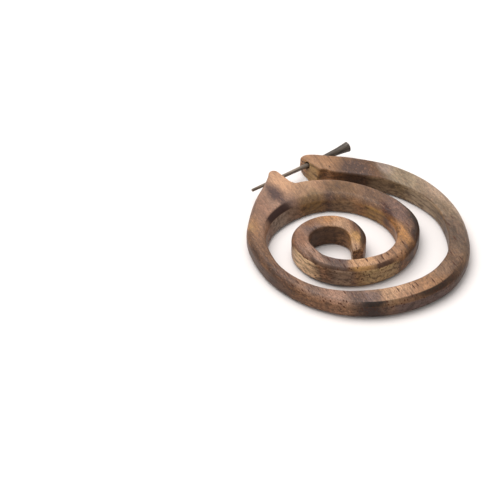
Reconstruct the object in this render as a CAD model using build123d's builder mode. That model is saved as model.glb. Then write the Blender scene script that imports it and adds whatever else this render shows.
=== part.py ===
# Wooden earring: a flat carved spiral hoop whose ear gap is closed by a tapered stick pin
from build123d import *
import math
import os

os.makedirs("parts", exist_ok=True)

# Driving sizes in millimetres. X runs along the pin towards its head, Y towards the ear gap and Z
# up. The hoop lies flat on Z = 0, and turns are measured in degrees, clockwise from 12 o'clock,
# about the upright axis of the spiral's eye
spiral_reach = 30.0
band_width = 5.0
band_depth = 4.5
coil_width = 4.0
coil_depth = 5.0
ear_gap = 8.0
flat_sanding = 0.05

# Roundings of the wood's edges: lower inner, lower outer, upper outer, upper inner
band_edges = (1.0, 1.6, 1.1, 0.45)
coil_edges = (0.9, 1.2, 0.5, 0.4)

pin_length = 28.0
pin_tip_diameter = 0.56
pin_head_diameter = 2.3
pin_end_edge = 0.08
pin_axis_height = 3.4
pin_overhang = 7.9
pin_below_peak = 2.0
pin_clearance = 0.08
end_bore_diameter = 1.4

# How far past the 12 o'clock ray the lug's face and the band's outer end stand, which face each
# other across the ear gap, as shares of spiral_reach
lug_past = 0.177
gap_end_past = lug_past + ear_gap / spiral_reach

# Each row is one cross-section: its turn, how far past that ray it stands and the reach of its
# middle line, both as shares of spiral_reach, its width and depth as shares of the band's or the
# coil's own, and how far its lower inner edge stands in, as a share of its width
band_ribs = [
    (0, gap_end_past, 0.910, 1.24, 1.02, 0.00),
    (0, gap_end_past + 0.014, 0.917, 1.41, 1.03, 0.00),
    (36, 0, 1.001, 1.34, 1.03, 0.00),
    (47, 0, 0.984, 1.35, 1.03, 0.00),
    (60, 0, 0.986, 1.26, 1.02, 0.00),
    (77, 0, 0.982, 1.12, 1.01, 0.00),
    (95, 0, 0.972, 0.94, 1.00, 0.00),
    (115, 0, 0.947, 0.93, 0.99, 0.00),
    (135, 0, 0.918, 1.03, 0.98, 0.00),
    (155, 0, 0.857, 1.15, 0.97, 0.00),
    (175, 0, 0.768, 1.20, 0.97, 0.00),
    (195, 0, 0.695, 1.17, 0.97, 0.00),
    (215, 0, 0.643, 0.98, 0.98, 0.00),
    (235, 0, 0.604, 0.76, 1.00, 0.00),
    (255, 0, 0.578, 0.65, 1.01, 0.00),
    (275, 0, 0.570, 0.63, 1.02, 0.00),
    (295, 0, 0.579, 0.66, 1.03, 0.02),
    (315, 0, 0.616, 0.79, 1.04, 0.08),
    (333, 0, 0.661, 0.99, 1.04, 0.20),
    (348, 0, 0.716, 1.39, 1.04, 0.26),
    (360, 0, 0.767, 1.92, 1.04, 0.22),
    (360, lug_past - 0.077, 0.790, 2.46, 1.04, 0.12),
    (360, lug_past - 0.037, 0.789, 2.67, 1.04, 0.09),
    (360, lug_past - 0.013, 0.781, 2.67, 1.04, 0.08),
    (360, lug_past, 0.765, 2.54, 1.04, 0.07),
]

# The coil's root stands inside the lug, clear of its surface by root_inset. Past the lug's face
# the coil is flared, so that the gap's inner corner is round
root_inset = 0.12
root_rib = (360, lug_past - 0.040, 0.720, 2.20, 0.92, 0.10)
coil_ribs = [
    (360, lug_past + 0.005, 0.697, 2.14, 0.94, 0.10),
    (360, lug_past + 0.017, 0.675, 1.92, 0.94, 0.10),
    (360, lug_past + 0.033, 0.659, 1.81, 0.94, 0.08),
    (360, lug_past + 0.093, 0.630, 1.85, 0.94, 0.04),
    (392, 0, 0.690, 1.78, 0.95, 0.03),
    (410, 0, 0.664, 1.64, 0.96, 0.00),
    (425, 0, 0.641, 1.56, 0.97, 0.00),
    (440, 0, 0.620, 1.54, 0.99, 0.00),
    (460, 0, 0.587, 1.52, 1.02, 0.00),
    (485, 0, 0.527, 1.24, 1.05, 0.00),
    (510, 0, 0.453, 1.00, 1.08, 0.00),
    (535, 0, 0.385, 0.94, 1.10, 0.00),
    (560, 0, 0.338, 0.86, 1.12, 0.00),
    (585, 0, 0.307, 0.82, 1.14, 0.00),
    (610, 0, 0.287, 0.83, 1.16, 0.00),
    (635, 0, 0.279, 0.89, 1.17, 0.00),
    (660, 0, 0.285, 0.98, 1.17, 0.02),
    (685, 0, 0.280, 1.09, 1.17, 0.05),
    (710, 0, 0.257, 1.18, 1.17, 0.06),
    (735, 0, 0.234, 1.19, 1.16, 0.05),
    (760, 0, 0.214, 1.16, 1.15, 0.03),
    (785, 0, 0.194, 1.09, 1.13, 0.00),
    (815, 0, 0.168, 0.98, 1.11, 0.00),
    (836, 0.077, 0.139, 0.86, 1.09, 0.00),
    (821, 0.165, 0.092, 0.82, 1.08, 0.00),
]

# Pin from its tip to its head: the place along it as a share of pin_length, and how much of the
# step from the tip's radius to the head's is reached there
pin_stations = [
    (0, 0),
    (0.28, 0.08),
    (0.56, 0.20),
    (0.66, 0.25),
    (0.75, 0.32),
    (0.86, 0.50),
    (0.95, 0.77),
    (1, 1),
]


def rib_plane(turn, past, reach, height):
    """Plane across the wood, with x outward from the eye, y up and its normal clockwise."""
    outward = Vector(math.sin(math.radians(turn)), math.cos(math.radians(turn)), 0)
    onward = Vector(outward.Y, -outward.X, 0)
    middle = outward * reach + onward * past + Vector(0, 0, height)
    return Plane(origin=middle, x_dir=outward, z_dir=onward)


def rib_face(rib, full_width, full_depth, edges, inset=0):
    """One cross-section of the wood, with the rounding of each of its four edges."""
    turn, past, reach, width_share, depth_share, foot_share = rib
    width = full_width * width_share
    depth = full_depth * depth_share
    foot = width * foot_share
    widest = 0.3 * min(width, depth)
    corners = [
        (-width / 2 - foot, inset - depth / 2),
        (width / 2, inset - depth / 2),
        (width / 2, depth / 2),
        (-width / 2, depth / 2),
    ]
    plane = rib_plane(turn, past * spiral_reach, reach * spiral_reach, depth / 2)
    with BuildSketch(plane) as section:
        Polygon(*corners, align=None)
        for corner, rounding in zip(corners, edges):
            vertex = section.vertices().sort_by_distance((*corner, 0))[0]
            fillet(vertex, min(rounding, widest))
    return section.sketch.face()


# The pin's line lies below the lug's peak
lug_ribs = [rib for rib in band_ribs if rib[0] == 360]
peak_y = max(spiral_reach * reach + band_width * width / 2 for _, _, reach, width, _, _ in lug_ribs)
pin_start = Vector(spiral_reach * lug_past - pin_overhang, peak_y - pin_below_peak, pin_axis_height)
pin_axis = Axis(pin_start, (1, 0, 0))
gap_middle = Vector(spiral_reach * lug_past + ear_gap / 2, pin_start.Y, pin_axis_height)


def pin_half(growth):
    """Half outline of the pin, grown by a clearance all along its side."""
    tip_radius = pin_tip_diameter / 2
    taper = (pin_head_diameter - pin_tip_diameter) / 2
    side = [(pin_length * along, tip_radius + taper * step + growth) for along, step in pin_stations]
    with BuildSketch(Plane(origin=pin_start, x_dir=(1, 0, 0), z_dir=(0, -1, 0))) as half:
        with BuildLine():
            Spline(*side)
            Polyline(side[-1], (pin_length, 0), (0, 0), side[0])
        make_face()
    return half.sketch.face()


# Spiral hoop: the band and the coil are carved from one piece and drilled along the pin's line,
# with a taper that follows the pin and a wider straight bore from the gap out through the end
with BuildPart() as spiral_hoop:
    loft([rib_face(rib, band_width, band_depth, band_edges) for rib in band_ribs])
    root_face = rib_face(root_rib, coil_width, coil_depth, coil_edges, root_inset)
    coil_faces = [rib_face(rib, coil_width, coil_depth, coil_edges) for rib in coil_ribs]
    loft([root_face, *coil_faces])
    revolve(pin_half(pin_clearance), axis=pin_axis, mode=Mode.SUBTRACT)
    with BuildSketch(Plane(origin=gap_middle, x_dir=(0, 1, 0), z_dir=(1, 0, 0))):
        Circle(end_bore_diameter / 2)
    extrude(amount=spiral_reach, mode=Mode.SUBTRACT)
    split(bisect_by=Plane.XY.offset(flat_sanding), keep=Keep.TOP)

# Ear pin: one turned stick, thin at the tip and thick at its flat head
with BuildPart() as ear_pin:
    revolve(pin_half(0), axis=pin_axis)
    end_edges = ear_pin.edges().filter_by(GeomType.CIRCLE).group_by(Axis.X)
    fillet(end_edges[0] + end_edges[-1], pin_end_edge)

# Both pieces keep their places, with the origin under the middle of the hoop's box
hoop_box = spiral_hoop.part.bounding_box()
origin_shift = Location((-hoop_box.center().X, -hoop_box.center().Y, -hoop_box.min.Z))
spiral_hoop.part.move(origin_shift)
ear_pin.part.move(origin_shift)

spiral_hoop.part.label = "spiral_hoop"
ear_pin.part.label = "ear_pin"
export_step(spiral_hoop.part, "parts/spiral_hoop.step")
export_step(ear_pin.part, "parts/ear_pin.step")

print("hoop box", hoop_box.size, "origin shift", origin_shift.position)
print("pin start", pin_start, "lug face", spiral_reach * lug_past)
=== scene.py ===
import math
import bpy
import numpy as np
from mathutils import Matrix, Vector


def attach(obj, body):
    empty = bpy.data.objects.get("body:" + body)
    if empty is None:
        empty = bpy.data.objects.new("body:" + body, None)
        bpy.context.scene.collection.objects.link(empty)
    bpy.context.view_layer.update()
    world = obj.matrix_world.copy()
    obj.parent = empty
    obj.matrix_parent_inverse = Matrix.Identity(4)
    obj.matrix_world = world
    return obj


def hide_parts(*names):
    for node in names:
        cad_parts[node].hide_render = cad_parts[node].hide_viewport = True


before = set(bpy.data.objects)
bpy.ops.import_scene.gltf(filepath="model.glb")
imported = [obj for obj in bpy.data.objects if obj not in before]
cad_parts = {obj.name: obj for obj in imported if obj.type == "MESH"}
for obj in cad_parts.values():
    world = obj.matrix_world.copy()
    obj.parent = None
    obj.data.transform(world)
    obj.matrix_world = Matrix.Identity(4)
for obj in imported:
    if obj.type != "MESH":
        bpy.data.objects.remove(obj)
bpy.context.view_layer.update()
print("frame loaded:", sorted(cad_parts))

mm = 0.001  # every size below is in millimetres, and meshes are made in metres


def linearColour(hexText):
    channels = [int(hexText[i:i + 2], 16) / 255 for i in (1, 3, 5)]
    return [c / 12.92 if c <= 0.04045 else ((c + 0.055) / 1.055) ** 2.4 for c in channels] + [1.0]


# A link's value is a socket, a node, which gives its first output in use, or a constant
def addNode(tree, kind, links=None, **settings):
    node = tree.nodes.new(kind)
    for name, value in settings.items():
        setattr(node, name, value)
    for key, value in (links or {}).items():
        if isinstance(value, bpy.types.Node):
            value = next(socket for socket in value.outputs if socket.enabled)
        if isinstance(value, bpy.types.NodeSocket):
            tree.links.new(value, node.inputs[key])
        else:
            node.inputs[key].default_value = value
    return node


# Camera: at the photograph's angle, far off with a long lens
camera = {
    "target": (-20.875, 11.741, 0.0),
    "distance": 688.07,
    "heading": 37.0,  # degrees clockwise from +Y
    "elevation": 38.5,  # degrees above the floor
    "lens": 216.0,
    "sensor": 36.0,
    "clip": (50.0, 10000.0),
}


def placeCamera(look):
    heading, elevation = math.radians(look["heading"]), math.radians(look["elevation"])
    flat = math.cos(elevation)
    ahead = Vector((math.sin(heading) * flat, math.cos(heading) * flat, -math.sin(elevation)))
    data = bpy.data.cameras.new("studioCamera")
    data.lens = look["lens"]
    data.sensor_width = look["sensor"]
    data.clip_start, data.clip_end = look["clip"][0] * mm, look["clip"][1] * mm
    obj = bpy.data.objects.new("studioCamera", data)
    obj.location = (Vector(look["target"]) - ahead * look["distance"]) * mm
    obj.rotation_euler = ahead.to_track_quat("-Z", "Y").to_euler()
    bpy.context.scene.collection.objects.link(obj)
    bpy.context.scene.camera = obj
    print("camera placed")


# Light: one large soft box above the earring, behind it and to its left, and a white tent all
# round that is brighter above and behind
light = {
    "tentFront": 0.46,
    "tentBack": 1.10,
    "tentAxis": (-0.02, 0.50, 0.87),  # from the tent's front and foot to its back and top
    "tentFade": (-0.3, 0.9),  # where along that axis the brightness starts and stops rising
    "boxPlace": (-75.0, 220.0, 625.0),
    "boxSize": 600.0,
    "boxPower": 4.5,  # watts
}


def lightStudio(look):
    scene = bpy.context.scene
    scene.view_settings.view_transform = "Standard"
    scene.world = bpy.data.worlds.new("whiteTent")
    scene.world.use_nodes = True
    tree = scene.world.node_tree
    background = tree.nodes["Background"]
    background.inputs["Color"].default_value = (1, 1, 1, 1)
    way = addNode(tree, "ShaderNodeTexCoord").outputs["Generated"]
    rise = addNode(tree, "ShaderNodeVectorMath", {0: way, 1: look["tentAxis"]}, operation="DOT_PRODUCT")
    strength = addNode(tree, "ShaderNodeMapRange", {
        "Value": rise, "From Min": look["tentFade"][0], "From Max": look["tentFade"][1],
        "To Min": look["tentFront"], "To Max": look["tentBack"]})
    tree.links.new(strength.outputs["Result"], background.inputs["Strength"])
    data = bpy.data.lights.new("softBox", "AREA")
    data.size = look["boxSize"] * mm
    data.energy = look["boxPower"]
    obj = bpy.data.objects.new("softBox", data)
    obj.location = Vector(look["boxPlace"]) * mm
    obj.rotation_euler = (-obj.location).to_track_quat("-Z", "Y").to_euler()
    scene.collection.objects.link(obj)
    print("lights placed")


# Floor: a matt white acrylic sheet, which takes a soft shadow and hardly any reflection
floor = {"size": 1400.0, "colour": "#DDD7D4", "roughness": 0.6, "specular": 0.2}


def layFloor(look):
    half = look["size"] / 2 * mm
    corners = [(-half, -half, 0), (half, -half, 0), (half, half, 0), (-half, half, 0)]
    mesh = bpy.data.meshes.new("whiteFloor")
    mesh.from_pydata(corners, [], [(0, 1, 2, 3)])
    obj = bpy.data.objects.new("whiteFloor", mesh)
    bpy.context.scene.collection.objects.link(obj)
    material = bpy.data.materials.new("mattAcrylic")
    material.use_nodes = True
    shader = material.node_tree.nodes["Principled BSDF"]
    shader.inputs["Base Color"].default_value = linearColour(look["colour"])
    shader.inputs["Roughness"].default_value = look["roughness"]
    shader.inputs["Specular IOR Level"].default_value = look["specular"]
    mesh.materials.append(material)
    print("floor laid")


# Wood of the hoop: a brown rosewood, sawn lengthwise, carved, sanded and rubbed with oil. The eye
# sees streaks of tan, rosy brown and purple grey along the fibres, short dark pores that are dashes
# on the flat faces, painted shade that leaves the sides deeper and more golden, and a low satin gloss
hoopWood = {
    "fibreAngle": 77.0,  # degrees from +X
    "reach": 28.0,  # the streaks' colours run from -reach to reach across the fibres
    "streaks": [  # millimetres across the fibres, from the right side of the hoop to the left
        (-25.0, "#97806B"),
        (-22.5, "#87715C"),
        (-20.0, "#6E5945"),
        (-16.5, "#5C4534"),
        (-12.5, "#5E4029"),
        (-9.5, "#7A573A"),
        (-6.5, "#8B6648"),
        (-3.0, "#8A664B"),
        (0.5, "#977257"),
        (3.5, "#99775B"),
        (6.5, "#8A6A51"),
        (8.4, "#72584A"),
        (9.6, "#5A463D"),
        (11.0, "#5A463D"),
        (12.6, "#876957"),
        (16.0, "#7A5B4A"),
        (19.5, "#7A5B47"),
        (22.0, "#634733"),
        (25.0, "#5E4431"),
    ],
    "stray": (6.0, 3.2, 1.0),  # how far streaks and patches wander along, across and up
    "patchFade": (0.6, 1.4),  # shares of a patch's half size where it is full and where it is gone
    # Where along and across the fibres, how long and wide, colour, strength. Later ones lie on top
    "patches": [
        (22.0, 8.0, 10.5, 5.4, "#A98264", 0.95),  # the pale lug
        (18.5, 11.2, 6.5, 3.6, "#4A3733", 0.95),  # the dark patch beside it
        (24.0, -1.5, 8.0, 6.0, "#8F6B4D", 0.85),  # the drilled end
        (23.6, -4.6, 0.9, 0.5, "#2B1A12", 0.95),  # a small knot
        (19.5, -9.5, 9.5, 7.5, "#43322C", 0.95),  # the dark stretch past it
        (12.5, -19.0, 13.0, 8.0, "#85755F", 0.8),  # the olive stretch, top right
        (5.0, -23.6, 13.0, 5.0, "#8E7865", 0.85),  # the pinkish outer edge below it
        (-11.5, -21.0, 15.0, 6.0, "#524135", 0.85),  # the dark brown lower right
        (-2.0, -21.5, 8.0, 5.0, "#6E5C48", 0.7),  # the turn between them
        (14.0, -3.0, 9.0, 7.0, "#5D452F", 0.85),  # the dark start of the coil
        (12.0, 0.3, 4.0, 3.2, "#453531", 0.85),
        (13.4, 4.4, 4.6, 6.2, "#6B5438", 0.85),  # the olive roll beside it
        (-9.6, -12.0, 6.5, 2.6, "#241812", 0.9),  # painted shade on the coil's outer edges, lower right
        (-13.2, -7.8, 4.5, 3.0, "#33241D", 0.75),
        (9.0, -9.5, 12.0, 7.0, "#60493A", 0.8),  # the mauve upper right of the coil
        (1.0, -11.9, 12.0, 4.2, "#644D45", 0.88),
        (-4.0, -13.9, 7.0, 2.4, "#241812", 0.92),  # painted shade, near black, on the coil's outer edge
        (1.2, -9.8, 9.0, 1.9, "#34150A", 0.95),  # a red-brown streak
        (-6.0, -8.2, 11.0, 4.4, "#946739", 0.85),  # the golden turn
        (4.8, 4.5, 5.0, 6.5, "#96683F", 0.8),  # the inner coil, top to left
        (5.0, 9.6, 5.0, 3.6, "#7C5334", 0.7),
        (0.0, 13.8, 8.0, 3.6, "#6B4630", 0.7),
        (-2.0, -0.2, 8.0, 3.4, "#4E2F1D", 0.88),  # the tip, dark outside and golden inside
        (-4.8, 1.8, 5.0, 2.6, "#9C7440", 0.75),
        (-9.7, -19.9, 5.0, 1.6, "#3E3226", 0.6),  # the band's dark inner corner, right
        (-9.6, 8.4, 5.0, 4.0, "#5E4B47", 0.85),  # the mauve front of the inner coil
        (4.5, 13.2, 12.0, 5.0, "#785643", 0.4),
        (10.5, 21.2, 7.0, 3.0, "#84603F", 0.7),  # the band's left side
        (-9.5, 21.8, 9.0, 4.0, "#48342B", 0.7),
        (0.5, 24.8, 8.0, 1.6, "#33231A", 0.85),  # dark streaks along its outer edge
        (-6.0, 23.6, 8.0, 1.2, "#35251C", 0.8),
        (-7.5, 15.9, 8.0, 1.1, "#3F2615", 0.85),  # reddish streaks on the inner coil's left
        (-9.0, 14.0, 6.0, 0.8, "#4A2E1A", 0.8),
        (10.4, 22.0, 4.0, 1.6, "#9A774F", 0.45),  # a golden spot on the band's left
        (-20.0, 14.4, 7.0, 4.0, "#9C7864", 0.85),  # the band's front, left and right
        (-17.0, 18.0, 5.0, 3.0, "#5F4C43", 0.6),
        (-22.0, -11.5, 6.0, 7.0, "#7D6654", 0.5),
        (18.0, -16.6, 6.0, 3.4, "#8B7A70", 0.6),  # a grey cloud, top right
        (-24.6, 7.2, 5.0, 4.2, "#5A4A47", 0.75),  # the grey stretch at the band's front
        (-23.6, 0.6, 5.0, 6.5, "#B08A6A", 0.8),  # the pale one beside it
        (-13.8, 4.4, 5.0, 6.5, "#B98D67", 0.75),  # the pale front of the coil
    ],
    "sidePatches": [  # on the upright sides alone: the wood's tones, with painted shade and painted light where marked
        (-28.5, -4.0, 6.0, 20.0, "#5C4B48", 0.9),  # painted shade on the band's front
        (-26.0, 7.6, 6.0, 6.0, "#282123", 0.92),
        (-22.0, -15.0, 12.0, 8.0, "#4A3A32", 0.7),
        (-8.0, 25.0, 22.0, 5.0, "#523E33", 0.8),  # painted shade on the band's left
        (-0.5, 6.5, 8.0, 7.0, "#5B412F", 0.8),  # the eye
        (-16.5, 1.0, 7.0, 9.0, "#C7A676", 0.85),  # the coil's front, golden: partly its own tone and partly painted light
        (-14.7, 10.0, 6.0, 5.5, "#A1836A", 0.85),
        (-7.0, 16.4, 9.0, 5.0, "#EFC699", 0.9),
        # painted shade on the coil's right side
        (-8.5, -13.0, 9.0, 4.0, "#4F3A2E", 0.8),
        (4.0, -7.0, 7.0, 4.0, "#94703F", 0.7),  # inside the coil
        (25.5, -0.7, 5.0, 3.5, "#A3855C", 0.7),  # the drilled end's face
        (13.8, 3.0, 4.0, 5.0, "#80603A", 0.8),  # under the lug
        (15.0, 10.4, 8.0, 5.0, "#8A6E5A", 0.85),
        (12.4, 14.0, 9.0, 6.0, "#8C7868", 0.85),
        (15.0, -14.2, 10.0, 5.0, "#836A50", 0.85),  # the band's inner side, right
        (4.0, -19.0, 12.0, 5.0, "#A38C72", 0.85),
        (9.2, -2.3, 6.0, 5.0, "#8A6E52", 0.75),  # the coil's inner side, top
        (-5.6, 0.0, 6.0, 3.0, "#77553B", 0.8),  # the tip
    ],
    "slopeShadeAndLight": [  # on the slopes along the upper edges alone: painted shade, and painted light on the coil's golden front
        (12.2, 14.4, 9.0, 8.4, "#240E07", 0.98),  # painted shade on the slope under the lug
        (13.3, 11.2, 4.4, 3.6, "#240E07", 0.8),
        (-24.8, -6.0, 9.0, 17.0, "#1E140E", 0.92),  # painted shade on the band's front
        (-26.8, 1.6, 2.4, 4.0, "#6E5030", 0.5),
        (-26.0, 7.0, 5.0, 6.5, "#110B09", 0.95),
        (-11.3, 13.5, 6.0, 7.0, "#3A2517", 0.75),  # painted shade on the coil's front, and painted light in its golden patch
        (-17.0, -0.6, 4.6, 7.4, "#2E1810", 0.8),
        (-15.6, 8.2, 4.0, 3.2, "#472A1A", 0.7),
        (-15.0, 5.2, 5.0, 6.0, "#A87C45", 0.7),
        (-3.0, 0.0, 14.0, 3.4, "#2E2019", 0.8),  # painted shade round the tip
        (-3.0, -13.2, 15.0, 4.0, "#2A1D17", 0.85),  # painted shade on the coil's right
    ],
    # Where each kind of face starts and is full: 1 faces straight up and 0 sideways
    "faces": {
        "side": (0.90, 0.35),
        "wall": (0.62, 0.48),
        "unlevel": (0.97, 0.88),
        "unwalled": (0.48, 0.62),
    },
    "sideShadeTint": (1.08, 0.95, 0.74),  # painted shade: the sides' share of red, green and blue, deeper and more golden
    "noises": {  # per millimetre along the fibres, across them and up, then detail and roughness
        "wander": ((0.06, 0.22, 0.16), 3.0, 0.5),
        "dark": ((0.035, 1.1, 0.7), 4.0, 0.6),  # streaks 0.5 to 1 mm wide
        "fleck": ((0.9, 1.8, 1.8), 3.0, 0.7),  # cloudy flecks of half a millimetre
        "fine": ((0.16, 3.2, 2.4), 4.0, 0.7),  # streaks of 0.3 mm
        "grit": ((1.4, 6.0, 6.0), 2.0, 0.7),  # single fibres, drawn coarser than the real 0.02 mm
        "layers": ((0.10, 0.14, 1.9), 3.0, 0.6),  # growth layers, nearly level
        "cloud": ((0.16, 0.40, 0.30), 3.0, 0.6),
        "ring": ((0.045, 0.17, 0.08), 2.0, 0.5),
        "mottle": ((0.3, 1.0, 1.5), 5.0, 0.75),
    },
    "stains": [  # noise, where in it the stain starts and is full, strength, colour
        ("dark", 0.56, 0.68, 0.5, "#4A3528"),
        ("fleck", 0.52, 0.66, 0.25, "#A37A5F"),
        ("fleck", 0.48, 0.34, 0.4, "#5A4A44"),
    ],
    "shades": [  # noise, where in it the shade starts and ends, its darkest and lightest
        ("fine", 0.3, 0.7, 0.70, 1.31),
        ("grit", 0.3, 0.7, 0.56, 1.44),
        ("layers", 0.35, 0.65, 0.86, 1.12),
        ("cloud", 0.35, 0.65, 0.82, 1.16),
    ],
    "calm": (2.0, 20.0, 0.5),  # the shades start to weaken here, end weakening there, and what is left
    "rings": {
        "bend": 6.0,  # how far the noise bends the rings
        "rise": 0.55,  # rings in each millimetre of height
        "half": 0.5,  # half of the way from one ring to the next
        "line": 0.24,  # how wide a ring's line is, of that half
        "strength": (0.1, 0.4),  # on the flat faces and on the sides
        "colour": "#33221A",
    },
    "mottle": (0.49, 0.62, 0.7, "#2E2018"),  # where it starts and is full, strength, colour
    "endGrainAndShade": (0.3, 0.95, 0.25, "#3A2A20"),  # the same, by how far a face is cut across the fibres: the end grain's own darker tone, and painted shade on the sides
    "pores": [  # how many could stand in each millimetre, what share is left out, strength
        ((0.26, 1.5, 1.7), 0.34, 1.0),  # 0.2 mm wide and 1.2 to 2 mm long
        ((0.65, 3.2, 3.2), 0.5, 0.65),  # finer and shorter ones
    ],
    "poreTilt": 8.0,  # degrees, so that each pore dips under the surface
    "poreEdge": (0.34, 0.16),  # where a pore starts and is full, in shares of its room
    "poreSpread": (0.0, -9.0, 0.2),  # pores start to grow more here, are all open there, share before
    "poreColour": "#40200F",
    "relief": {"fibre": 0.03, "grit": 0.02, "pore": -0.06, "strength": 0.7},  # heights in millimetres
    "roughness": 0.42,
    "roughnessFade": (0.3, 0.7, -0.06, 0.08),  # where in the fine noise it changes, and by how much
    "specular": 0.18,
}


def paintPatches(tree, colour, spot, patches, fade, mask=1.0):
    full, gone = fade
    for along, aside, length, width, tone, strength in patches:
        # A ball that fades from its middle. Its own mapping places it, because a Mapping node for
        # each patch fills up the shader's memory and leaves the wood black
        size = (2 / gone / length, 2 / gone / width, 0.0)
        ball = addNode(tree, "ShaderNodeTexGradient", {"Vector": spot}, gradient_type="SPHERICAL")
        ball.texture_mapping.scale = size
        ball.texture_mapping.translation = (-along * size[0], -aside * size[1], 0.0)
        amount = addNode(tree, "ShaderNodeMapRange", {
            "Value": ball.outputs["Fac"], "From Min": 0.0, "From Max": 1 - full / gone, "To Max": strength})
        masked = addNode(tree, "ShaderNodeMath", {0: mask, 1: amount}, operation="MULTIPLY")
        colour = addNode(tree, "ShaderNodeMix", {
            0: masked, 6: colour, 7: linearColour(tone)}, data_type="RGBA")
    return colour


def oiledRosewood(look):
    material = bpy.data.materials.new("oiledRosewood")
    material.use_nodes = True
    tree = material.node_tree
    tree.nodes.clear()
    place = addNode(tree, "ShaderNodeTexCoord").outputs["Object"]
    angle = math.radians(look["fibreAngle"])
    # X along the fibres, Y across them, Z up, all in millimetres
    grain = addNode(tree, "ShaderNodeMapping", {
        "Vector": place, "Rotation": (0, 0, -angle), "Scale": (1 / mm,) * 3})
    noise = {}
    for name, (scale, detail, roughness) in look["noises"].items():
        spot = addNode(tree, "ShaderNodeMapping", {"Vector": grain, "Scale": scale})
        noise[name] = addNode(tree, "ShaderNodeTexNoise", {
            "Vector": spot, "Scale": 1.0, "Detail": detail, "Roughness": roughness})

    # The streaks wander slowly
    centred = addNode(tree, "ShaderNodeVectorMath", {
        0: noise["wander"].outputs["Color"], 1: (0.5, 0.5, 0.5)}, operation="SUBTRACT")
    stray = addNode(tree, "ShaderNodeVectorMath", {
        0: centred, 1: look["stray"], 2: grain}, operation="MULTIPLY_ADD")
    along, across, _ = addNode(tree, "ShaderNodeSeparateXYZ", {0: stray}).outputs
    reach = look["reach"]
    rampSpot = addNode(tree, "ShaderNodeMapRange", {"Value": across, "From Min": -reach, "From Max": reach})
    colour = addNode(tree, "ShaderNodeValToRGB", {0: rampSpot})
    colour.color_ramp.interpolation = "EASE"
    stops = colour.color_ramp.elements
    while len(stops) < len(look["streaks"]):
        stops.new(0.5)
    for stop, (spot, tone) in zip(stops, look["streaks"]):
        stop.position = (spot + reach) / (2 * reach)
        stop.color = linearColour(tone)
    colour = paintPatches(tree, colour, stray, look["patches"], look["patchFade"])
    for name, start, full, strength, tone in look["stains"]:
        amount = addNode(tree, "ShaderNodeMapRange", {
            "Value": noise[name], "From Min": start, "From Max": full, "To Max": strength})
        colour = addNode(tree, "ShaderNodeMix", {
            0: amount, 6: colour, 7: linearColour(tone)}, data_type="RGBA")

    # Light and dark along the fibres, weaker towards the lug
    value = 1.0
    for name, start, end, darkest, lightest in look["shades"]:
        shade = addNode(tree, "ShaderNodeMapRange", {
            "Value": noise[name], "From Min": start, "From Max": end, "To Min": darkest, "To Max": lightest})
        value = addNode(tree, "ShaderNodeMath", {0: value, 1: shade}, operation="MULTIPLY")
    start, end, left = look["calm"]
    calm = addNode(tree, "ShaderNodeMapRange", {
        "Value": along, "From Min": start, "From Max": end, "To Min": 1.0, "To Max": left})
    value = addNode(tree, "ShaderNodeMix", {0: calm, 2: 1.0, 3: value})
    colour = addNode(tree, "ShaderNodeHueSaturation", {"Color": colour, "Value": value})

    # Sides: painted shade leaves them deeper and more golden. They and the slopes above them carry patches,
    # among them painted shade and painted light
    normal = addNode(tree, "ShaderNodeNewGeometry").outputs["Normal"]
    rise = addNode(tree, "ShaderNodeSeparateXYZ", {0: normal}).outputs["Z"]
    upright = addNode(tree, "ShaderNodeMath", {0: rise}, operation="ABSOLUTE")
    face = {}
    for name, (start, full) in look["faces"].items():
        face[name] = addNode(tree, "ShaderNodeMapRange", {
            "Value": upright, "From Min": start, "From Max": full})
    slope = addNode(tree, "ShaderNodeMath", {0: face["unlevel"], 1: face["unwalled"]}, operation="MULTIPLY")
    # Painted shade: the sides are tinted deeper and more golden than the flat faces
    colour = addNode(tree, "ShaderNodeMix", {
        0: face["side"], 6: colour, 7: (*look["sideShadeTint"], 1.0)}, data_type="RGBA", blend_type="MULTIPLY")
    # Patches on the sides: the wood's tones, painted shade on the band's front and left and the coil's
    # right, and painted light on the coil's golden front
    colour = paintPatches(tree, colour, stray, look["sidePatches"], look["patchFade"], face["wall"])
    # Painted shade along the slopes of the upper edges, with painted light on the coil's golden front
    colour = paintPatches(tree, colour, stray, look["slopeShadeAndLight"], look["patchFade"], slope)

    # Rings, nearly level: arches on the flat faces, wavy lines along the sides
    rings = look["rings"]
    height = addNode(tree, "ShaderNodeSeparateXYZ", {0: grain}).outputs["Z"]
    level = addNode(tree, "ShaderNodeMath", {0: height, 1: rings["rise"]}, operation="MULTIPLY")
    spot = addNode(tree, "ShaderNodeMath", {
        0: noise["ring"], 1: rings["bend"], 2: level}, operation="MULTIPLY_ADD")
    wave = addNode(tree, "ShaderNodeMath", {0: spot, 1: rings["half"]}, operation="PINGPONG")
    line = addNode(tree, "ShaderNodeMapRange", {"Value": wave, "From Min": rings["line"], "From Max": 0.0})
    strength = addNode(tree, "ShaderNodeMapRange", {
        "Value": face["side"], "To Min": rings["strength"][0], "To Max": rings["strength"][1]})
    amount = addNode(tree, "ShaderNodeMath", {0: line, 1: strength}, operation="MULTIPLY")
    ringTone = linearColour(rings["colour"])
    colour = addNode(tree, "ShaderNodeMix", {0: amount, 6: colour, 7: ringTone}, data_type="RGBA")

    # Dark mottling on the sides, and a darker tone where the fibres are cut across, partly the end grain's
    # own and partly painted shade on the sides
    start, full, strength, tone = look["mottle"]
    amount = addNode(tree, "ShaderNodeMapRange", {
        "Value": noise["mottle"], "From Min": start, "From Max": full, "To Max": strength})
    amount = addNode(tree, "ShaderNodeMath", {0: amount, 1: face["side"]}, operation="MULTIPLY")
    colour = addNode(tree, "ShaderNodeMix", {0: amount, 6: colour, 7: linearColour(tone)}, data_type="RGBA")
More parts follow.
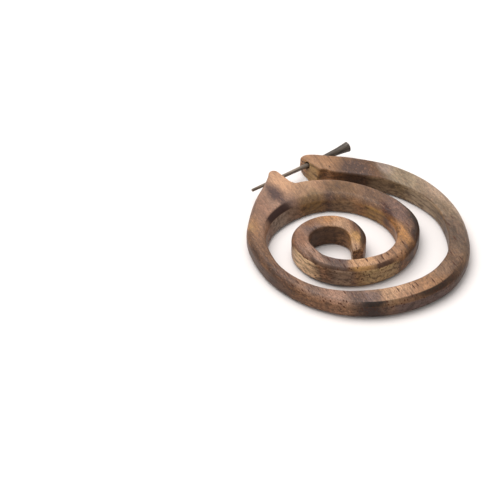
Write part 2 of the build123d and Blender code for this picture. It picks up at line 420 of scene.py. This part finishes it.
    # Partly painted shade: darker where a side faces along the fibres
    fibre = (math.cos(angle), math.sin(angle), 0)
    cut = addNode(tree, "ShaderNodeVectorMath", {0: normal, 1: fibre}, operation="DOT_PRODUCT")
    cut = addNode(tree, "ShaderNodeMath", {0: cut}, operation="ABSOLUTE")
    start, full, strength, tone = look["endGrainAndShade"]
    amount = addNode(tree, "ShaderNodeMapRange", {
        "Value": cut, "From Min": start, "From Max": full, "To Max": strength})
    colour = addNode(tree, "ShaderNodeMix", {0: amount, 6: colour, 7: linearColour(tone)}, data_type="RGBA")

    # Pores, in some of the places that could hold one
    pore = 0.0
    for scale, leftOut, depth in look["pores"]:
        spot = addNode(tree, "ShaderNodeMapping", {
            "Vector": grain, "Rotation": (0, math.radians(look["poreTilt"]), 0), "Scale": scale})
        cells = addNode(tree, "ShaderNodeTexVoronoi", {"Vector": spot, "Scale": 1.0})
        draw = addNode(tree, "ShaderNodeSeparateColor", {0: cells.outputs["Color"]}).outputs["Red"]
        picked = addNode(tree, "ShaderNodeMath", {0: draw, 1: leftOut}, operation="GREATER_THAN")
        hollow = addNode(tree, "ShaderNodeMapRange", {
            "Value": cells.outputs["Distance"],
            "From Min": look["poreEdge"][0], "From Max": look["poreEdge"][1]})
        hollow = addNode(tree, "ShaderNodeMath", {0: picked, 1: hollow}, operation="MULTIPLY")
        hollow = addNode(tree, "ShaderNodeMath", {0: hollow, 1: depth}, operation="MULTIPLY")
        pore = addNode(tree, "ShaderNodeMath", {0: hollow, 1: pore}, operation="MAXIMUM")
    start, end, before = look["poreSpread"]
    spread = addNode(tree, "ShaderNodeMapRange", {
        "Value": along, "From Min": start, "From Max": end, "To Min": before, "To Max": 1.0})
    pore = addNode(tree, "ShaderNodeMath", {0: pore, 1: spread}, operation="MULTIPLY")
    poreTone = linearColour(look["poreColour"])
    colour = addNode(tree, "ShaderNodeMix", {0: pore, 6: colour, 7: poreTone}, data_type="RGBA")

    # Fibres and grit stand out a little, and pores sink in
    relief = look["relief"]
    sunk = addNode(tree, "ShaderNodeMath", {0: pore, 1: relief["pore"]}, operation="MULTIPLY")
    lift = addNode(tree, "ShaderNodeMath", {
        0: noise["fine"], 1: relief["fibre"], 2: sunk}, operation="MULTIPLY_ADD")
    lift = addNode(tree, "ShaderNodeMath", {
        0: noise["grit"], 1: relief["grit"], 2: lift}, operation="MULTIPLY_ADD")
    bump = addNode(tree, "ShaderNodeBump", {"Height": lift, "Strength": relief["strength"], "Distance": mm})
    start, end, less, more = look["roughnessFade"]
    rough = addNode(tree, "ShaderNodeMapRange", {
        "Value": noise["fine"], "From Min": start, "From Max": end,
        "To Min": look["roughness"] + less, "To Max": look["roughness"] + more})
    shader = addNode(tree, "ShaderNodeBsdfPrincipled", {
        "Base Color": colour, "Roughness": rough, "Normal": bump})
    shader.inputs["Specular IOR Level"].default_value = look["specular"]
    addNode(tree, "ShaderNodeOutputMaterial", {"Surface": shader})
    return material


# Wood of the pin: a dark palm wood, whittled lengthwise and rubbed smooth, near black brown with
# long paler fibres
pinWood = {
    "dark": "#4A3D34",
    "pale": "#8C7C6B",
    "fibres": (0.15, 4.0, 4.0),  # per millimetre along, across and up
    "fibreDetail": 3.0,
    "fibreEdge": (0.35, 0.7),  # where in the noise it is all dark and all pale
    "headShade": (4.0, 12.0, 0.38),  # from here to there, in millimetres of X, it darkens to this share
    "relief": (0.4, 0.03),  # strength, and height in millimetres
    "roughness": 0.4,
    "specular": 0.35,
}


def darkPalmWood(look):
    material = bpy.data.materials.new("darkPalmWood")
    material.use_nodes = True
    tree = material.node_tree
    tree.nodes.clear()
    place = addNode(tree, "ShaderNodeTexCoord").outputs["Object"]
    scale = tuple(count / mm for count in look["fibres"])
    spot = addNode(tree, "ShaderNodeMapping", {"Vector": place, "Scale": scale})
    fibre = addNode(tree, "ShaderNodeTexNoise", {
        "Vector": spot, "Scale": 1.0, "Detail": look["fibreDetail"]})
    ramp = addNode(tree, "ShaderNodeValToRGB", {0: fibre})
    for stop, edge, tone in zip(ramp.color_ramp.elements, look["fibreEdge"], (look["dark"], look["pale"])):
        stop.position = edge
        stop.color = linearColour(tone)
    # The head is darker than the worn tip
    along = addNode(tree, "ShaderNodeSeparateXYZ", {0: place}).outputs["X"]
    start, end, left = look["headShade"]
    shade = addNode(tree, "ShaderNodeMapRange", {
        "Value": along, "From Min": start * mm, "From Max": end * mm, "To Min": 1.0, "To Max": left})
    colour = addNode(tree, "ShaderNodeHueSaturation", {"Color": ramp, "Value": shade})
    strength, height = look["relief"]
    bump = addNode(tree, "ShaderNodeBump", {"Height": fibre, "Strength": strength, "Distance": height * mm})
    shader = addNode(tree, "ShaderNodeBsdfPrincipled", {"Base Color": colour, "Normal": bump})
    shader.inputs["Roughness"].default_value = look["roughness"]
    shader.inputs["Specular IOR Level"].default_value = look["specular"]
    addNode(tree, "ShaderNodeOutputMaterial", {"Surface": shader})
    return material


def plainMesh(obj):
    evaluated = obj.evaluated_get(bpy.context.evaluated_depsgraph_get())
    mesh = bpy.data.meshes.new_from_object(evaluated)
    obj.modifiers.clear()
    obj.data = mesh
    mesh.name = obj.name


# Hoop: sections along the band and the coil. Each row gives the turn in degrees clockwise from 12
# o'clock, how far past that ray the section stands, the reach of its middle line (both as shares of
# the spiral's reach), its width and depth as shares of the band's or the coil's own, and how far
# its lower inner edge stands in, as a share of its width
spiralReach = 30.0
earGap = 8.0
lugPast = 0.177
gapEndPast = lugPast + earGap / spiralReach
hoop = {
    "eye": (-6.558, -2.442),
    "sanded": 0.05,
    "facet": 0.65,  # 0 leaves the upper edges round, 1 cuts them flat
    "widestEdge": 0.42,  # an edge's rounding is at most this share of the section
    "edgeSteps": 8,
    "bluntEnd": 8,  # sections this many times farther apart than the last ones start the long arm
    "band": {
        "width": 5.0,
        "depth": 4.5,
        "edges": [  # turn, then rounding of the lower inner, lower outer, upper outer, upper inner edge
            (25, 0.8, 2.0, 0.8, 0.45),
            (60, 1.0, 1.6, 1.1, 0.45),
            (135, 1.0, 1.8, 1.5, 0.45),
            (180, 1.0, 1.9, 1.4, 0.40),
            (255, 0.8, 1.6, 1.3, 0.40),
            (300, 0.8, 1.8, 1.3, 0.50),
            (335, 1.0, 1.6, 1.1, 1.50),
            (350, 1.0, 1.6, 1.0, 1.85),
            (364, 1.0, 1.6, 0.9, 1.95),
        ],
        "rows": [
            (0, gapEndPast - 0.008, 0.918, 1.40, 1.02, 0.00),
            (0, gapEndPast + 0.014, 0.921, 1.46, 1.03, 0.00),
            (36, 0, 1.003, 1.37, 1.03, 0.00),
            (47, 0, 0.986, 1.38, 1.03, 0.00),
            (60, 0, 0.988, 1.29, 1.03, 0.02),
            (77, 0, 0.984, 1.15, 1.02, 0.04),
            (95, 0, 0.970, 0.95, 1.01, 0.05),
            (115, 0, 0.940, 0.93, 0.99, 0.05),
            (135, 0, 0.915, 1.01, 0.98, 0.00),
            (155, 0, 0.859, 1.17, 0.97, 0.00),
            (175, 0, 0.771, 1.23, 0.97, 0.00),
            (195, 0, 0.698, 1.19, 0.97, 0.00),
            (215, 0, 0.643, 0.98, 0.98, 0.00),
            (235, 0, 0.602, 0.74, 1.00, 0.00),
            (255, 0, 0.573, 0.63, 1.01, 0.00),
            (275, 0, 0.569, 0.63, 1.02, 0.00),
            (295, 0, 0.583, 0.72, 1.03, 0.07),
            (315, 0, 0.624, 0.88, 1.04, 0.14),
            (333, 0, 0.6605, 1.05, 1.04, 0.24),
            (348, 0, 0.711, 1.45, 1.04, 0.28),
            (360, 0, 0.762, 1.98, 1.04, 0.23),
            (360, lugPast - 0.077, 0.791, 2.57, 1.04, 0.12),
            (360, lugPast - 0.044, 0.802, 2.83, 1.04, 0.09),
            (360, lugPast - 0.020, 0.797, 2.88, 1.04, 0.08),
            (360, lugPast, 0.781, 2.73, 1.04, 0.07),
        ],
    },
    "coil": {
        "width": 4.0,
        "depth": 5.0,
        "edges": [
            (365, 0.9, 1.2, 0.9, 1.85),
            (372, 0.9, 1.2, 0.9, 1.90),
            (400, 0.9, 1.2, 1.0, 1.80),
            (430, 0.9, 1.2, 1.1, 1.40),
            (460, 0.9, 1.2, 1.4, 1.10),
            (490, 0.9, 1.5, 1.4, 0.50),
            (545, 0.9, 1.6, 1.1, 0.40),
            (600, 0.9, 1.6, 1.0, 0.40),
            (650, 0.9, 1.2, 1.1, 0.40),
            (720, 0.9, 1.2, 1.1, 0.35),
            (800, 0.8, 1.0, 1.4, 0.35),
            (882, 0.7, 0.8, 1.6, 0.35),
        ],
        "rows": [
            (360, lugPast - 0.040, 0.720, 2.20, 0.94, 0.10),
            (360, lugPast + 0.005, 0.697, 2.14, 0.94, 0.13),
            (360, lugPast + 0.017, 0.675, 1.92, 0.94, 0.13),
            (360, lugPast + 0.033, 0.668, 1.94, 0.94, 0.12),
            (360, lugPast + 0.093, 0.642, 2.03, 0.94, 0.08),
            (392, 0, 0.690, 1.78, 0.95, 0.07),
            (410, 0, 0.664, 1.64, 0.96, 0.04),
            (425, 0, 0.641, 1.56, 0.97, 0.03),
            (440, 0, 0.620, 1.54, 0.99, 0.02),
            (460, 0, 0.590, 1.56, 1.02, 0.00),
            (485, 0, 0.525, 1.21, 1.05, 0.00),
            (510, 0, 0.450, 1.05, 1.08, 0.00),
            (535, 0, 0.3725, 1.14, 1.10, 0.00),
            (560, 0, 0.3245, 1.06, 1.12, 0.00),
            (585, 0, 0.296, 0.99, 1.14, 0.00),
            (610, 0, 0.2815, 0.925, 1.16, 0.00),
            (635, 0, 0.2735, 0.985, 1.17, 0.00),
            (660, 0, 0.285, 0.98, 1.17, 0.02),
            (685, 0, 0.280, 1.09, 1.17, 0.01),
            (710, 0, 0.259, 1.21, 1.17, -0.03),
            (735, 0, 0.240, 1.29, 1.16, -0.03),
            (760, 0, 0.222, 1.28, 1.15, -0.04),
            (785, 0, 0.203, 1.22, 1.13, -0.04),
            (815, 0, 0.175, 1.07, 1.11, -0.07),
            (836, 0.077, 0.140, 0.84, 1.06, -0.10),
            (821, 0.165, 0.086, 0.70, 0.97, -0.14),
        ],
    },
    "step": 0.3,  # along the wood, between sections
    "endLean": 1.8,  # how far the face of the drilled end leans along its inner edge
    "endRings": 3,  # how many sections lean with it
    "voxel": 0.25,
    "passes": 2,  # of sanding
    "undulation": 0.12,  # how high the hand's hills and hollows are, and how wide
    "wave": 5.0,
    "seed": 3.0,
    "pinLine": (-3.0, 28.345, 3.4),  # the tip's place, from the eye
    "lugBore": 0.50,  # radii
    "endBore": 0.85,
    "boreDepth": 14.0,
    "boreSides": 40,
    "endBoreShift": (-0.14, 0.14),  # to the side and up
    "creaseAngle": 55.0,  # degrees, past which an edge is drawn sharp
}


def sectionRing(row, arm, look):
    turn, past, middle, widthShare, depthShare, footShare = row
    stands = turn + math.degrees(math.atan2(past, middle))
    width, depth = arm["width"] * widthShare, arm["depth"] * depthShare
    foot = width * footShare
    turns = [line[0] for line in arm["edges"]]
    edges = [float(np.interp(stands, turns, [line[i] for line in arm["edges"]])) for i in range(1, 5)]
    corners = [(-width / 2 - foot, 0), (width / 2, 0), (width / 2, depth), (-width / 2, depth)]
    steps = look["edgeSteps"]
    points = []
    for i, corner in enumerate(corners):
        here = np.array(corner, float)
        back = np.array(corners[i - 1], float) - here
        ahead = np.array(corners[(i + 1) % 4], float) - here
        back, ahead = back / np.linalg.norm(back), ahead / np.linalg.norm(ahead)
        bend = math.acos(float(np.clip(back @ ahead, -1, 1)))
        rounding = min(edges[i], look["widestEdge"] * min(width, depth))
        inward = (back + ahead) / np.linalg.norm(back + ahead)
        centre = here + inward * rounding / math.sin(bend / 2)
        first = here + back * rounding / math.tan(bend / 2) - centre
        last = here + ahead * rounding / math.tan(bend / 2) - centre
        swing = math.pi - bend
        for k in range(steps + 1):
            part = k / steps
            arc = (first * math.sin((1 - part) * swing) + last * math.sin(part * swing)) / math.sin(swing)
            chord = first + (last - first) * part
            flattened = look["facet"] if i > 1 else 0  # the two upper edges alone
            points.append(centre + arc + (chord - arc) * flattened)
    ring = []
    for i, point in enumerate(points):
        ring.append(point)
        if i % (steps + 1) == steps:  # the flat face up to the next edge
            after = points[(i + 1) % len(points)]
            ring += [point + (after - point) * k / steps for k in range(1, steps)]
    ring = np.array(ring)
    angle = math.radians(turn)
    outward = np.array([math.sin(angle), math.cos(angle)])
    onward = np.array([outward[1], -outward[0]])
    plan = outward * (middle * spiralReach) + onward * (past * spiralReach) + ring[:, :1] * outward
    return np.column_stack([plan, ring[:, 1]])


# Rings between the given ones, on smooth curves through each ring's points
def smoothRings(rings, step, bluntEnd):
    rings = np.array(rings)
    centres = rings.mean(axis=1)
    gaps = np.linalg.norm(np.diff(centres, axis=0), axis=1)
    slopes = np.diff(rings, axis=0) / gaps[:, None, None]
    tangents = np.empty_like(rings)
    share = (gaps[:-1] / (gaps[:-1] + gaps[1:]))[:, None, None]
    tangents[1:-1] = slopes[:-1] * (1 - share) + slopes[1:] * share
    tangents[0], tangents[-1] = 2 * slopes[0] - tangents[1], 2 * slopes[-1] - tangents[-2]
    bend = np.where(gaps[1:] > bluntEnd * gaps[:-1])[0] + 1  # a blunt end turns into the long arm here
    made = []
    for i, gap in enumerate(gaps):
        start = slopes[i] if i in bend else tangents[i]
        finish = slopes[i] if i + 1 in bend else tangents[i + 1]
        count = max(1, round(gap / step))
        for k in range(count + (i == len(gaps) - 1)):
            t = k / count
            a, b = 2 * t**3 - 3 * t**2 + 1, t**3 - 2 * t**2 + t
            c, d = -2 * t**3 + 3 * t**2, t**3 - t**2
            made.append(a * rings[i] + b * gap * start + c * rings[i + 1] + d * gap * finish)
    return np.array(made)


def closedTube(rings):
    count, around = rings.shape[:2]
    points = rings.reshape(-1, 3).tolist()
    faces = []
    for i in range(count - 1):
        here, after = i * around, (i + 1) * around
        for k in range(around):
            following = (k + 1) % around
            faces.append((here + k, here + following, after + following, after + k))
    faces.append(tuple(reversed(range(around))))
    faces.append(tuple(range((count - 1) * around, count * around)))
    return points, faces


def newTree(name, inputs):
    tree = bpy.data.node_groups.new(name, "GeometryNodeTree")
    tree.interface.new_socket("Geometry", in_out="INPUT", socket_type="NodeSocketGeometry")
    for label, kind in inputs.items():
        tree.interface.new_socket(label, in_out="INPUT", socket_type="NodeSocket" + kind)
    tree.interface.new_socket("Geometry", in_out="OUTPUT", socket_type="NodeSocketGeometry")
    return tree


def giveInputs(modifier, values):
    for item in modifier.node_group.interface.items_tree:
        if item.item_type == "SOCKET" and item.in_out == "INPUT" and item.name in values:
            modifier[item.identifier] = values[item.name]


def sandingTree(look):
    tree = newTree("handSanding", {
        "Passes": "Int", "Undulation": "Float", "Wave": "Float", "Seed": "Float", "Bore Place": "Vector",
        "Lug Bore": "Float", "End Bore": "Float", "End Bore Shift": "Vector", "Gap Middle": "Float",
        "Finish": "Material"})
    given = addNode(tree, "NodeGroupInput").outputs
    place = addNode(tree, "GeometryNodeInputPosition")
    normal = addNode(tree, "GeometryNodeInputNormal")
    # Sanding takes the sharpness off every edge
    worn = addNode(tree, "GeometryNodeBlurAttribute", {
        "Value": place, "Iterations": given["Passes"]}, data_type="FLOAT_VECTOR")
    wood = addNode(tree, "GeometryNodeSetPosition", {"Geometry": given["Geometry"], "Position": worn})
    # The hand leaves slow hills and hollows
    scale = addNode(tree, "ShaderNodeMath", {0: 1.0, 1: given["Wave"]}, operation="DIVIDE")
    hills = addNode(tree, "ShaderNodeTexNoise", {
        "Vector": place, "W": given["Seed"], "Scale": scale, "Detail": 1.0}, noise_dimensions="4D")
    centred = addNode(tree, "ShaderNodeMath", {0: hills, 1: 0.5}, operation="SUBTRACT")
    lift = addNode(tree, "ShaderNodeMath", {0: centred, 1: given["Undulation"]}, operation="MULTIPLY")
    offset = addNode(tree, "ShaderNodeVectorMath", {0: normal, "Scale": lift}, operation="SCALE")
    wood = addNode(tree, "GeometryNodeSetPosition", {"Geometry": wood, "Offset": offset})
    # The flat underside is kept level
    x, y, z = addNode(tree, "ShaderNodeSeparateXYZ", {0: place}).outputs
    level = addNode(tree, "ShaderNodeMath", {0: z, 1: 0.0}, operation="MAXIMUM")
    flat = addNode(tree, "ShaderNodeCombineXYZ", {0: x, 1: y, 2: level})
    wood = addNode(tree, "GeometryNodeSetPosition", {"Geometry": wood, "Position": flat})
    # The two bores on the pin's line, on either side of the middle of the gap
    _, boreY, boreZ = addNode(tree, "ShaderNodeSeparateXYZ", {0: given["Bore Place"]}).outputs
    drilled = addNode(tree, "GeometryNodeMeshBoolean", {
        "Mesh 1": wood}, operation="DIFFERENCE", solver="MANIFOLD")
    for name, side in (("Lug Bore", -1), ("End Bore", 1)):
        bore = addNode(tree, "GeometryNodeMeshCylinder", {
            "Vertices": look["boreSides"], "Radius": given[name], "Depth": look["boreDepth"] * mm})
        along = addNode(tree, "ShaderNodeMath", {
            0: given["Gap Middle"], 1: side * look["boreDepth"] / 2 * mm}, operation="ADD")
        spot = addNode(tree, "ShaderNodeCombineXYZ", {0: along, 1: boreY, 2: boreZ})
        if name == "End Bore":
            spot = addNode(tree, "ShaderNodeVectorMath", {
                0: spot, 1: given["End Bore Shift"]}, operation="ADD")
        cutter = addNode(tree, "GeometryNodeTransform", {
            "Geometry": bore, "Translation": spot, "Rotation": (0, math.radians(90), 0)})
        tree.links.new(cutter.outputs["Geometry"], drilled.inputs["Mesh 2"])
    # Smooth all over but for the rims of the bores
    angle = addNode(tree, "GeometryNodeInputMeshEdgeAngle")
    soft = addNode(tree, "FunctionNodeCompare", {
        0: angle, 1: math.radians(look["creaseAngle"])}, operation="LESS_THAN")
    smooth = addNode(tree, "GeometryNodeSetShadeSmooth", {"Geometry": drilled, "Shade Smooth": True})
    edged = addNode(tree, "GeometryNodeSetShadeSmooth", {
        "Geometry": smooth, "Shade Smooth": soft}, domain="EDGE")
    real = addNode(tree, "GeometryNodeRealizeInstances", {"Geometry": edged})
    finished = addNode(tree, "GeometryNodeSetMaterial", {"Geometry": real, "Material": given["Finish"]})
    addNode(tree, "NodeGroupOutput", {"Geometry": finished})
    return tree


def carveHoop(look, material):
    points, faces = [], []
    for arm in (look["band"], look["coil"]):
        sections = [sectionRing(row, arm, look) for row in arm["rows"]]
        rings = smoothRings(sections, look["step"], look["bluntEnd"])
        rings += np.array([*look["eye"], -look["sanded"]])
        if arm is look["band"]:  # its drilled end leans
            first = rings[:look["endRings"]]
            height = first[:, :, 2] / first[:, :, 2].max() - 0.5
            inward = (first[:, :, 1].max() - first[:, :, 1]) / np.ptp(first[:, :, 1])
            first[:, :, 0] += look["endLean"] * height * inward
        armPoints, armFaces = closedTube(rings)
        faces += [tuple(v + len(points) for v in face) for face in armFaces]
        points += armPoints
    points = np.array(points)
    points[:, 2] = np.maximum(points[:, 2], 0)
    mesh = bpy.data.meshes.new("spiralHoop")
    mesh.from_pydata((points * mm).tolist(), [], faces)
    obj = bpy.data.objects.new("spiralHoop", mesh)
    bpy.context.scene.collection.objects.link(obj)
    remesh = obj.modifiers.new("oneBlock", "REMESH")
    remesh.mode = "VOXEL"
    remesh.voxel_size = look["voxel"] * mm
    sanding = obj.modifiers.new("handSanding", "NODES")
    sanding.node_group = sandingTree(look)
    lugX = look["eye"][0] + lugPast * spiralReach
    boreY, boreZ = look["eye"][1] + look["pinLine"][1], look["pinLine"][2] - look["sanded"]
    giveInputs(sanding, {
        "Passes": look["passes"],
        "Undulation": look["undulation"] * mm,
        "Wave": look["wave"] * mm,
        "Seed": look["seed"],
        "Bore Place": (0.0, boreY * mm, boreZ * mm),
        "Lug Bore": look["lugBore"] * mm,
        "End Bore": look["endBore"] * mm,
        "End Bore Shift": (0.0, look["endBoreShift"][0] * mm, look["endBoreShift"][1] * mm),
        "Gap Middle": (lugX + earGap / 2) * mm,
        "Finish": material,
    })
    plainMesh(obj)
    print("hoop carved:", len(obj.data.polygons), "faces")
    return obj


# Pin: a tapered round stick, thin at the tip and flared at its flat head
pin = {
    "length": 28.4,
    "tipRadius": 0.36,
    "headRadius": 1.27,
    # The place along it, and how much of the step from the tip's radius to the head's is reached
    "taper": [
        (0, 0),
        (0.28, 0.08),
        (0.56, 0.20),
        (0.66, 0.25),
        (0.75, 0.32),
        (0.86, 0.50),
        (0.95, 0.77),
        (1, 1),
    ],
    "rings": 120,
    "sides": 40,
    "flats": 0.05,  # how deep the knife's flats are
    "flatsScale": (0.12, 1.2, 1.2),  # how many in a millimetre along, across and up
    "edge": 0.08,
    "edgeSegments": 3,
    "edgeAngle": 55.0,  # degrees
}


def stickTree(look):
    tree = newTree("whittledStick", {
        "Start": "Vector", "End": "Vector", "Tip Radius": "Float", "Head Radius": "Float", "Flats": "Float",
        "Finish": "Material"})
    given = addNode(tree, "NodeGroupInput").outputs
    line = addNode(tree, "GeometryNodeCurvePrimitiveLine", {"Start": given["Start"], "End": given["End"]})
    path = addNode(tree, "GeometryNodeResampleCurve", {"Curve": line, "Count": look["rings"]})
    along = addNode(tree, "GeometryNodeSplineParameter").outputs["Factor"]
    taper = addNode(tree, "ShaderNodeFloatCurve", {"Value": along})
    for spot, rise in look["taper"][1:-1]:  # the curve has its two ends already
        taper.mapping.curves[0].points.new(spot, rise)
    taper.mapping.update()
    radius = addNode(tree, "ShaderNodeMapRange", {
        "Value": taper, "To Min": given["Tip Radius"], "To Max": given["Head Radius"]})
    circle = addNode(tree, "GeometryNodeCurvePrimitiveCircle", {"Resolution": look["sides"], "Radius": 1.0})
    stick = addNode(tree, "GeometryNodeCurveToMesh", {
        "Curve": path, "Profile Curve": circle, "Scale": radius, "Fill Caps": True})
    # The knife leaves long shallow flats
    place = addNode(tree, "GeometryNodeInputPosition")
    scale = tuple(count / mm for count in look["flatsScale"])
    spot = addNode(tree, "ShaderNodeVectorMath", {0: place, 1: scale}, operation="MULTIPLY")
    flats = addNode(tree, "ShaderNodeTexNoise", {"Vector": spot, "Scale": 1.0, "Detail": 1.0})
    centred = addNode(tree, "ShaderNodeMath", {0: flats, 1: 0.5}, operation="SUBTRACT")
    lift = addNode(tree, "ShaderNodeMath", {0: centred, 1: given["Flats"]}, operation="MULTIPLY")
    normal = addNode(tree, "GeometryNodeInputNormal")
    offset = addNode(tree, "ShaderNodeVectorMath", {0: normal, "Scale": lift}, operation="SCALE")
    shaped = addNode(tree, "GeometryNodeSetPosition", {"Geometry": stick, "Offset": offset})
    real = addNode(tree, "GeometryNodeRealizeInstances", {"Geometry": shaped})
    smooth = addNode(tree, "GeometryNodeSetShadeSmooth", {"Geometry": real})
    finished = addNode(tree, "GeometryNodeSetMaterial", {"Geometry": smooth, "Material": given["Finish"]})
    addNode(tree, "NodeGroupOutput", {"Geometry": finished})
    return tree


def whittlePin(look, material):
    origin = (*hoop["eye"], -hoop["sanded"])
    start = Vector([here + further for here, further in zip(origin, hoop["pinLine"])])
    mesh = bpy.data.meshes.new("earPin")
    obj = bpy.data.objects.new("earPin", mesh)
    bpy.context.scene.collection.objects.link(obj)
    stick = obj.modifiers.new("whittledStick", "NODES")
    stick.node_group = stickTree(look)
    giveInputs(stick, {
        "Start": start * mm,
        "End": (start + Vector((look["length"], 0, 0))) * mm,
        "Tip Radius": look["tipRadius"] * mm,
        "Head Radius": look["headRadius"] * mm,
        "Flats": look["flats"] * mm,
        "Finish": material,
    })
    bevel = obj.modifiers.new("softEnds", "BEVEL")
    bevel.width = look["edge"] * mm
    bevel.segments = look["edgeSegments"]
    bevel.limit_method = "ANGLE"
    bevel.angle_limit = math.radians(look["edgeAngle"])
    plainMesh(obj)
    print("pin whittled:", len(obj.data.polygons), "faces")
    return obj


placeCamera(camera)
lightStudio(light)
layFloor(floor)

hoopPiece = carveHoop(hoop, oiledRosewood(hoopWood))
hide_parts("spiral_hoop")
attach(hoopPiece, "hoop")

pinPiece = whittlePin(pin, darkPalmWood(pinWood))
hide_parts("ear_pin")
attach(pinPiece, "pin")
